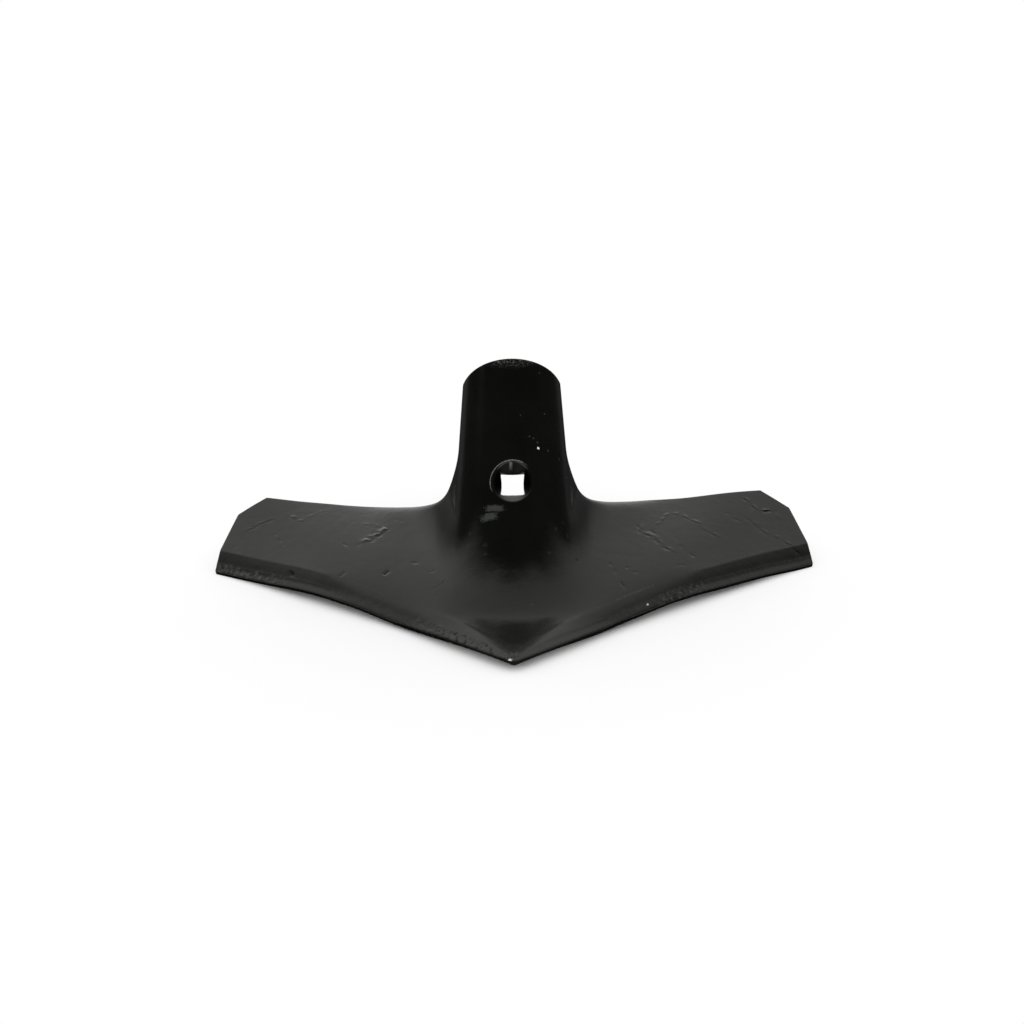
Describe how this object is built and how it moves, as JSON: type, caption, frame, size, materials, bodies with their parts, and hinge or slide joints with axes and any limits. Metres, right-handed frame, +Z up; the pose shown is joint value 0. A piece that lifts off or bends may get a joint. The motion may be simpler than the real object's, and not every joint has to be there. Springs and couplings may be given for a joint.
{
  "type": "cultivator sweep",
  "caption": "V-shaped cultivator sweep with lifted wings, bevelled cutting edges and a half-round neck with a countersunk square bolt hole, for cutting weeds and loosening soil.",
  "frame": {"origin": "middle of the sweep's box in plan, on the level ground that the cutting edges stand on", "axes": "+X across the wings to the right as seen from the front, +Y back from the nose towards the trailing edges, +Z up"},
  "size_m": [0.3058, 0.1814, 0.1085],
  "materials": {
    "black_paint": "semi-gloss black paint on pressed steel, with scuffs and chips"
  },
  "bodies": {
    "root": {"sweep": "black_paint"}
  },
  "joints": []
}
